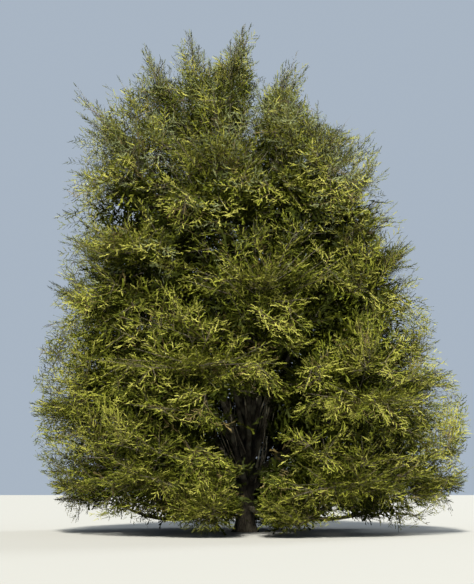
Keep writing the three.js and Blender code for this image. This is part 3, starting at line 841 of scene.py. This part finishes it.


# shifts in a spray's lightness: twig, random for each twig; along and even, lighter towards a twig's tip and
# darker at its foot, painted light and shade; top and end, darker tops and ends, painted shade of shoots
# against the sky
paintedLightAndPlay = {"twig": 0.13, "along": 0.2, "even": 0.6, "top": -0.12, "end": -0.08}
spire = {
    "gap": 0.085, "radius": 0.012, "thinning": 0.6, "leastLength": 0.25, "tipShoot": 0.24,
    "footAngle": 58, "tipAngle": 34, "shortest": 0.11, "shortening": 0.8, "play": (0.75, 1.2),
    "full": 0.36, "endFull": 0.25,                    # shoots longer than this are whole sprays
    "twigLongest": 0.32, "twigReach": 1.0, "farLongest": 0.5, "farReach": 1.7,
    "reachingZ": [5, 10], "reaching": [0.3, 0.1],     # the share of the twigs that reach past the body
}
ends = {
    "gap": 0.044, "longest": 0.6, "mainFrom": 0.7, "mainTo": 0.97, "tipMargin": 0.06,
    "turns": (-60, -38, -18, 12, 34, 56), "turnPlay": 8, "from": (0.4, 0.8), "flatten": 0.3,
    "lift": 0.8, "climb": (-0.12, 0.3), "length": 2.3, "wood": [0.022, 0.02],
}
risers = {
    "count": 5, "from": (0.25, 0.95), "lean": (4, 26), "turnPlay": 20, "length": 1.7, "wood": [0.02, 0.018],
}
tops = {
    "gap": 0.1, "longest": 0.45, "radius": 0.02, "mainFrom": 0.6, "belowTip": 0.02, "count": 12,
    "first": 0.02, "last": 0.85, "turnPlay": 20, "lean": (6, 38), "furthest": 3, "play": (0.7, 1),
    "knotsTo": 0.8,
}
furthestEnd, shortestEnd, woodOverlap = 4, 0.6, 0.05
sprayLift = {"z": [0, 4, 9, 15], "lift": [-0.22, -0.08, 0.18, 0.6]}      # how far sprays turn up, by height


class Growth:                     # what one mass has grown
    def __init__(self, spec, seed, wood):
        self.spec, self.space, self.wood = spec, Space(spec, hearts), wood
        self.draw = seeded(seed)
        self.sprays = []          # root, direction, lift, length, kind and cast, a shift in lightness: the twig's random play, with painted light and shade
        self.knots = []           # points on the twigs, where more can start

    def growBranchlet(self, start, direction, lift, longest, cast):
        draw = self.draw
        run = min(longest, self.space.runFrom(start, direction, longest))
        if run < spray["shortest"]:
            return
        length = max(sideTwig["leastWood"], run - sideTwig["leafyTip"])
        bend = draw(*sideTwig["bend"])
        radii = [sideTwig["radius"], sideTwig["radius"] * sideTwig["thinning"]]
        addTube(self.wood, bentPath(start, direction, length, bend, 3), radii, levelSide(direction))
        count = max(1, round(length / spray["gap"]))
        lifted = up * np.interp(start[2], sprayLift["z"], sprayLift["lift"])
        for k in range(count + 1):
            atTip = k == count
            share = 1 if atTip else (k + draw(*spray["shift"])) / count
            plane = turned(lift, direction, math.radians(spray["roll"]) * (draw() - 0.5))
            turn = 0 if atTip else math.radians(spray["angle"]) * (1 if k % 2 else -1)
            pitch = math.sin(math.radians(spray["pitch"]) * (draw() - spray["level"]))
            aim = unit(turned(direction, plane, turn) + plane * pitch + lifted)
            root = bentPoint(start, direction, length, bend, share)
            self.sprays.append((root, aim, plane, spray["length"] * draw(*spray["play"]), fine, cast))

    def growSpire(self, base, tip, longest, radius, gap, cast=0):      # a straight end with shoots all round
        length = np.linalg.norm(tip - base)
        if length < spire["leastLength"]:
            return
        axis = (tip - base) / length
        side, lift = squareTo(axis, self.spec["side"] + up * nudge)
        addTube(self.wood, bentPath(base, axis, length, 0, 3), [radius, radius * spire["thinning"]], side)
        full = spire["endFull"] if gap == ends["gap"] else spire["full"]
        count = round(length / gap)
        for k in range(count):
            share = (k + 0.5) / count
            opening = mix(spire["footAngle"], spire["tipAngle"], share)
            aim = openedOut(axis, side, lift, growth["goldenTurn"] * k, opening)
            reach = mix(longest, spire["shortest"], share ** spire["shortening"]) * self.draw(*spire["play"])
            plane = squareTo(aim, axis)[0]
            kind = fine if reach > full else single
            self.sprays.append((base + axis * length * share, aim, plane, reach, kind, cast))
        last = spire["tipShoot"]
        self.sprays.append((tip - axis * last, axis, side, last, single, cast))

    def growTwig(self, start, direction, lift, longest, bend, radius):
        draw, space = self.draw, self.space
        cast = draw(-1, 1) * paintedLightAndPlay["twig"]
        reaching = draw() < np.interp(start[2], spire["reachingZ"], spire["reaching"])
        run = space.runFrom(start, direction, longest, reaching) * draw(*twig["play"])
        if run < twig["shortest"]:
            return
        length = max(twig["leastWood"], run - twig["reachingLeafyTip" if reaching else "leafyTip"])
        path = bentPath(start, direction, length, bend, twig["points"])
        if not clearsLimbs(path[1:]).all():
            return
        last = twig["points"] - 1
        radii = [radius * (1 - twig["taper"] * k / last) for k in range(last)]
        addTube(self.wood, path, radii, levelSide(direction + up * slightNudge))
        self.knots += list(path)
        count = max(2, round(length / sideTwig["gap"]))
        for k in range(count):
            share = mix(sideTwig["first"], sideTwig["last"], (k + draw(*sideTwig["shift"])) / count)
            plane = turned(lift, direction, math.radians(sideTwig["rollPlay"]) * (draw() - 0.5))
            turn = sideTwig["angle"] + draw(-sideTwig["anglePlay"], sideTwig["anglePlay"])
            aim = turned(direction, plane, math.radians(turn) * (1 if k % 2 else -1))
            aim = unit(aim + up * math.sin(math.radians(sideTwig["pitchPlay"])) * draw(-1, 1))
            longestHere = sideTwig["length"] * draw(*sideTwig["lengthPlay"])
            longestHere *= sideTwig["atFoot"] - sideTwig["lessAtTip"] * share
            # lighter towards the twig's tip, darker at its foot: painted light and shade
            castHere = cast + paintedLightAndPlay["along"] * (share - paintedLightAndPlay["even"])
            root = bentPoint(start, direction, length, bend, share)
            self.growBranchlet(root, aim, plane, longestHere, castHere)
        lifted = up * np.interp(path[-1][2], sprayLift["z"], sprayLift["lift"])
        aim = unit(direction + up * bend * 2 + lifted * twig["endLift"])
        onward = space.runFrom(path[-1], aim, spire["farReach" if reaching else "twigReach"], True)
        widest = spire["farLongest" if reaching else "twigLongest"]
        base = path[-1] - direction * twig["endOverlap"]
        self.growSpire(base, path[-1] + aim * onward, widest, spire["radius"], spire["gap"], cast)


filler = {
    "tries": 6400, "box": 3.8, "furthest": 2.2, "past": 0.3, "bareTop": 2.2,
    "heart": 0.45, "apart": 0.52, "bodyApart": 0.44, "shell": 0.74,      # the crown's three depths
    "shellApart": {"skirt": 0.46, "lower": 0.5, "middle": 0.5, "upper": 0.5, "tops": 0.56},
}
thickets = [               # close growth: the sprays before the trunk's foot, and the crown behind it
    {"centre": (-1.35, -5.4, 1.0), "size": (0.95, 1.4, 1.1), "apart": 0.27, "tries": 900},
    {"centre": (1.5, -5.4, 1.0), "size": (0.95, 1.4, 1.0), "apart": 0.27, "tries": 900},
    {"centre": (0.2, 3.3, 2.3), "size": (2.4, 1.9, 2.5), "apart": 0.36, "tries": 1500},
]


def fillGaps(mass):               # more branchlets wherever the sprays lie too far apart
    draw, space = mass.draw, mass.space
    drawn = np.array([[draw(-1, 1) for k in range(3)] for i in range(filler["tries"])])
    wanted = drawn * filler["box"] + (mass.spec["heart"] + mass.spec["tip"]) / 2
    wanted = wanted[space.holds(wanted)]
    if mass.spec["isTop"]:
        wanted = wanted[wanted[:, 2] < mass.spec["tip"][2] - filler["bareTop"]]
    depths = outernessOf(wanted)
    body = [depths < filler["heart"], depths < filler["shell"]]
    shellApart = filler["shellApart"][mass.spec["group"]]
    aparts = np.select(body, [filler["apart"], filler["bodyApart"]], shellApart)
    for thicket in thickets:
        some = drawn[:thicket["tries"]]
        extra = (some * thicket["size"])[np.linalg.norm(some, axis=1) < 1] + thicket["centre"]
        extra = extra[space.holds(extra)]
        wanted = np.concatenate([wanted, extra])
        aparts = np.concatenate([aparts, np.full(len(extra), thicket["apart"])])
    knots = np.array(mass.knots)
    roots = np.array([row[0] for row in mass.sprays])
    for place, apart in zip(wanted, aparts):
        if np.linalg.norm(roots - place, axis=1).min() < apart:
            continue
        away = np.linalg.norm(knots - place, axis=1)
        start = knots[away.argmin()]
        if away.min() > filler["furthest"]:
            continue
        direction = unit(place - start)
        plane = squareTo(direction, up + nudge)[0]
        cast = draw(-1, 1) * paintedLightAndPlay["twig"]
        mass.growBranchlet(start, direction, plane, away.min() + filler["past"], cast)
        roots = np.array([row[0] for row in mass.sprays])


fan = {"twigs": 11, "sweep": 125, "turnPlay": 9, "pitchPlay": 9}
tierBend = {"skirt": -0.05, "lower": -0.04, "middle": 0.05, "upper": 0.12, "tops": 0.16}
spiralTwigs = {"skirt": 8, "lower": 12, "middle": 12, "upper": 12, "tops": 10}


def growLayer(mass, stem, share, rising):
    spec, space, draw = mass.spec, mass.space, mass.draw
    start = pointOn(stem, share)
    along = headingOn(stem, share)
    forward = unit(along * (1, 1, layer["levelling"]))
    side, lift = squareTo(forward, spec["side"])
    centre = start + lift * rising * spec["spread"]
    centre[2] = max(centre[2], layer["lowestCentre"])
    if not space.holds(centre[None])[0]:
        return
    if rising:
        addTube(mass.wood, bentPath(start, centre - start, 1, 0, 3), [twig["radius"]] * 2, forward)
    for k in range(fan["twigs"]):
        turn = mix(-fan["sweep"], fan["sweep"], k / (fan["twigs"] - 1)) + draw(-1, 1) * fan["turnPlay"]
        turn = math.radians(turn)
        direction = forward * math.cos(turn) + side * math.sin(turn)
        tilt = math.radians(spec["cup"] + draw(-1, 1) * fan["pitchPlay"])
        direction = unit(direction + up * math.tan(tilt))
        furthest = mix(layer["backward"], layer["forward"], (1 + math.cos(turn)) / 2)
        plane = squareTo(direction, up)[0]
        mass.growTwig(centre, direction, plane, furthest, tierBend[spec["group"]], twig["radius"])


def growTops(mass, stem):         # the pointed tops that stand out against the sky
    draw, space = mass.draw, mass.space
    base, tip = pointOn(stem, tops["mainFrom"]), mass.spec["tip"] - up * tops["belowTip"]
    # the tops' shoots darker: painted shade against the sky
    mass.growSpire(base, tip, tops["longest"], tops["radius"], tops["gap"], paintedLightAndPlay["top"])
    for k in range(tops["count"]):
        start = pointOn(stem, mix(tops["first"], tops["last"], k / (tops["count"] - 1)))
        azimuth = growth["goldenTurn"] * k + draw(-tops["turnPlay"], tops["turnPlay"])
        lean = heading(azimuth, 90 - draw(*tops["lean"]))
        run = space.runFrom(start, lean, tops["furthest"], True)
        longest = tops["longest"] * draw(*tops["play"])
        mass.growSpire(start, start + lean * run, longest, spire["radius"], tops["gap"], paintedLightAndPlay["top"])
        mass.knots += list(bentPath(start, lean, run * tops["knotsTo"], 0, 4))


def bareFoot(mass, start, direction, run, leafyLength, radii, side):      # the wood below a long end's shoots
    bare = run - min(run, leafyLength)
    addTube(mass.wood, bentPath(start, direction, bare + woodOverlap, 0, 3), radii, side)
    return start + direction * bare


def growEnds(mass, stem):         # the long pointed ends that stand out from the outline
    spec, space, draw = mass.spec, mass.space, mass.draw
    margin = ends["tipMargin"]
    tip = np.clip(mix(pointOn(stem, 1), spec["tip"], ends["mainTo"]), cadBox[0] + margin, cadBox[1] - margin)
    mass.growSpire(pointOn(stem, ends["mainFrom"]), tip, ends["longest"], tops["radius"], ends["gap"])
    for turn in ends["turns"]:
        start = pointOn(stem, draw(*ends["from"]))
        level = unit((spec["tip"] - start) * (1, 1, ends["flatten"]))
        climb = np.interp(start[2], sprayLift["z"], sprayLift["lift"]) * ends["lift"] + draw(*ends["climb"])
        aside = math.radians(turn + draw(-ends["turnPlay"], ends["turnPlay"]))
        direction = unit(turned(level, up, aside) + up * climb)
        run = space.runFrom(start, direction, furthestEnd, True)
        if run < shortestEnd:
            continue
        base = bareFoot(mass, start, direction, run, ends["length"], ends["wood"], levelSide(direction))
        # the long ends a little darker: painted shade against the sky
        cast = draw(-1, 1) * paintedLightAndPlay["twig"] + paintedLightAndPlay["end"]
        mass.growSpire(base, start + direction * run, ends["longest"], tops["radius"], ends["gap"], cast)


def growRisers(mass, stem):       # upright ends on the upper masses
    draw, space = mass.draw, mass.space
    for k in range(risers["count"]):
        start = pointOn(stem, draw(*risers["from"]))
        azimuth = growth["goldenTurn"] * k + draw(-risers["turnPlay"], risers["turnPlay"])
        direction = heading(azimuth, 90 - draw(*risers["lean"]))
        run = space.runFrom(start, direction, furthestEnd, True)
        if run < shortestEnd:
            continue
        base = bareFoot(mass, start, direction, run, risers["length"], risers["wood"], mass.spec["side"])
        tip = start + direction * run
        # darker like the tops: painted shade against the sky
        mass.growSpire(base, tip, tops["longest"], spire["radius"], spire["gap"], paintedLightAndPlay["top"])


def growMass(spec, index, wood):
    mass = Growth(spec, seedOfTree * (index + 1), wood)
    stem = stemLine(spec)
    rings = twig["stemRings"]
    path = np.array([pointOn(stem, k / rings) for k in range(rings + 1)])
    rootRadius = spec["endRadius"] * growth["stemRootShare"]
    radii = [rootRadius * (1 - k / rings) + twig["leastStemRadius"] for k in range(rings)]
    addTube(wood, path, radii, spec["side"], twig["stemSides"])
    mass.knots += list(path)
    mass.knots += [pointOn(spec["line"], share) for share in growth["limbKnots"]]
    for share, rising in (topLayers if spec["isTop"] else layers):
        growLayer(mass, stem, share, rising)
    count, bend = spiralTwigs[spec["group"]], tierBend[spec["group"]]
    for k in range(count):
        share = mix(growth["firstTwig"], growth["lastTwig"], k / (count - 1))
        along = headingOn(stem, share)
        side, lift = squareTo(along, spec["side"])
        opening = mix(growth["openAtFoot"], growth["openAtTip"], share)
        direction = openedOut(along, side, lift, growth["firstRoll"] + growth["goldenTurn"] * k, opening)
        plane = squareTo(direction, up)[0]
        start = pointOn(stem, share)
        mass.growTwig(start, direction, plane, growth["longestTwig"], bend, twig["spiralRadius"])
    if spec["isTop"]:
        growTops(mass, stem)
    else:
        growEnds(mass, stem)
        if spec["group"] == "upper":
            growRisers(mass, stem)
        direction = headingOn(stem, 1)
        plane, start = squareTo(direction, up)[0], pointOn(stem, growth["tipTwig"])
        mass.growTwig(start, direction, plane, growth["longestTwig"], 0, twig["spiralRadius"])
    fillGaps(mass)
    return mass


# the needles' green in four lightnesses that stand for light and shade: the lightest two for needles in the
# light, mid and the darkest for needles in shade; grey is painted shade of shoots high against the sky; brown
# is a colour of its own
tones = {
    "brightLit": (0.202, 0.200, 0.040), "lit": (0.138, 0.147, 0.017), "mid": (0.066, 0.077, 0.006),
    "shaded": (0.016, 0.021, 0.001), "grey": (0.104, 0.120, 0.052), "brown": (0.085, 0.066, 0.024),
}
brightLit, lit, mid, shaded, grey, brown = range(len(tones))
needleFinish = {"roughness": 0.65, "specular": 0.08}
# how a spray's tone is dealt: out and outermost make sprays lighter the further out they stand, painted
# light; top does the same for a free top; single and highSingle darken single shoots, most high up, and grey
# and greySingle grey them, painted shade against the sky; lift makes sprays lighter higher up; play is
# random; brown deals a few brown sprays
toneSteps = {
    "out": 0.9, "outermost": 0.9, "top": 0.84, "play": 0.32, "single": -0.08, "highSingle": -0.2,
    "z": [1, 5, 9, 14], "lift": [-0.1, -0.02, 0, 0.12], "steps": (0.77, 0.89, 1.03),
    "highFrom": 8, "highOver": 8, "greyDeal": 7, "grey": 0.5, "greySingle": 0.8,
    "brownDeal": 13, "brown": 0.03,
}


# lighter further out, painted light; lighter higher up; random play and the twig's cast; single shoots darker
# and, high up, greyer, painted shade against the sky; a few brown at random
def dealTones(roots, outerness, draws, casts, kinds):
    form = toneSteps
    high = np.clip((roots[:, 2] - form["highFrom"]) / form["highOver"], 0, 1)
    value = np.minimum(outerness, form["outermost"]) * form["out"] + draws * form["play"] + casts
    value += (kinds == single) * (form["single"] + high * form["highSingle"])
    value += np.interp(roots[:, 2], form["z"], form["lift"])
    tone = np.select([value < step for step in form["steps"]], [shaded, mid, lit], brightLit)
    greyShare = high * mix(form["grey"], form["greySingle"], kinds == single)
    tone = np.where((draws * form["greyDeal"] % 1 < greyShare) & (tone < shaded), grey, tone)
    return np.where(draws * form["brownDeal"] % 1 < form["brown"], brown, tone)


fitting = {"shares": (1, 0.75, 0.5), "pastTip": 1.1, "shuffle": 1009}


def dealSprays(mass, heap):
    roots, ahead, lifts = (np.array([row[k] for row in mass.sprays]) for k in range(3))
    lengths = np.array([row[3] for row in mass.sprays])
    kinds, casts = (np.array([row[k] for row in mass.sprays]) for k in (4, 5))
    across = np.cross(lifts, ahead)
    across /= np.linalg.norm(across, axis=1)[:, None]
    lifts = np.cross(ahead, across)
    outerness = outernessOf(roots)
    if mass.spec["isTop"]:        # a leader's top stands free, and takes the outer crown's lighter tones: painted light
        free = roots[:, 2] > mass.spec["heart"][2]
        outerness = np.where(free, np.maximum(outerness, toneSteps["top"]), outerness)
    limit = innerSpray["from"] * np.interp(roots[:, 2], innerSpray["z"], innerSpray["share"])
    deepIn = (kinds == fine) & (outerness < limit)
    kinds = np.where(deepIn, inner, kinds)
    lengths = np.where(deepIn, lengths * innerSpray["grown"], lengths)
    held = np.zeros(len(roots), bool)
    for fit in fitting["shares"]:
        tips = roots + ahead * (lengths * fit * fitting["pastTip"])[:, None]
        fits = ~held & mass.space.holds(tips, True) & clearsLimbs(tips)
        lengths = np.where(fits, lengths * fit, lengths)
        held |= fits
    draws = np.array([mass.draw() for row in mass.sprays])
    tone = dealTones(roots, outerness, draws, casts, kinds)
    axes = np.stack([ahead, across, lifts], axis=1) * lengths[:, None, None]
    for kind, family in enumerate(patterns):
        which = (draws * fitting["shuffle"]).astype(int) % len(family)
        for number, (verts, faces, shifts) in enumerate(family):
            for shade in range(len(tones)):
                same = (kinds == kind) & (which == number) & (tone == shade)
                dealt = np.nonzero(held & same)[0]
                if not len(dealt):
                    continue
                places = np.einsum("vk,nkj->nvj", verts, axes[dealt]) + roots[dealt][:, None]
                places = places[((places > cadBox[0]) & (places < cadBox[1])).all((1, 2))]
                index = faces[None] + (np.arange(len(places)) * len(verts))[:, None, None]
                shades = np.full(len(faces), shade)
                if shade <= shaded:
                    shades = np.clip(shade + shifts, brightLit, shaded)
                shades = np.where(shifts == ribMark, brown, shades)
                heap.add(places.reshape(-1, 3), index.reshape(-1, 3), np.tile(shades, len(places)))
    return np.bincount(kinds[held], minlength=3)


twigFinish = {"colour": (0.075, 0.062, 0.040), "roughness": 0.85}


def growCrown():
    twigBark = plainMaterial("twigBark", twigFinish["colour"], twigFinish["roughness"])
    # one needle material for each tone, the first four lit and shaded copies of one green
    needles = [plainMaterial(f"{name}Needles", colour, needleFinish["roughness"], needleFinish["specular"])
               for name, colour in tones.items()]
    total = np.zeros(3, int)
    for group in ("skirt", "lower", "middle", "upper", "tops"):
        members = [(index, spec) for index, spec in enumerate(carriers) if spec["group"] == group]
        wood = Heap()
        half = (len(members) + 1) // 2
        for part, some in enumerate((members[:half], members[half:])):
            heap = Heap()
            for index, spec in some:
                total += dealSprays(growMass(spec, index, wood), heap)
            name = f"{group}_needles_{part + 1}"
            mesh = joinedMesh(name, heap)
            addPiece(name, mesh, needles, [spec["mass"] for index, spec in some])
            print(name, len(mesh.polygons), "triangles")
        mesh = joinedMesh(f"{group}_twigs", wood)
        addPiece(f"{group}_twigs", mesh, [twigBark], [spec["mass"] for index, spec in members])
        print(group, "twigs", len(mesh.polygons), "triangles")
    print("sprays, fine, inner and single:", *total)


growCrown()
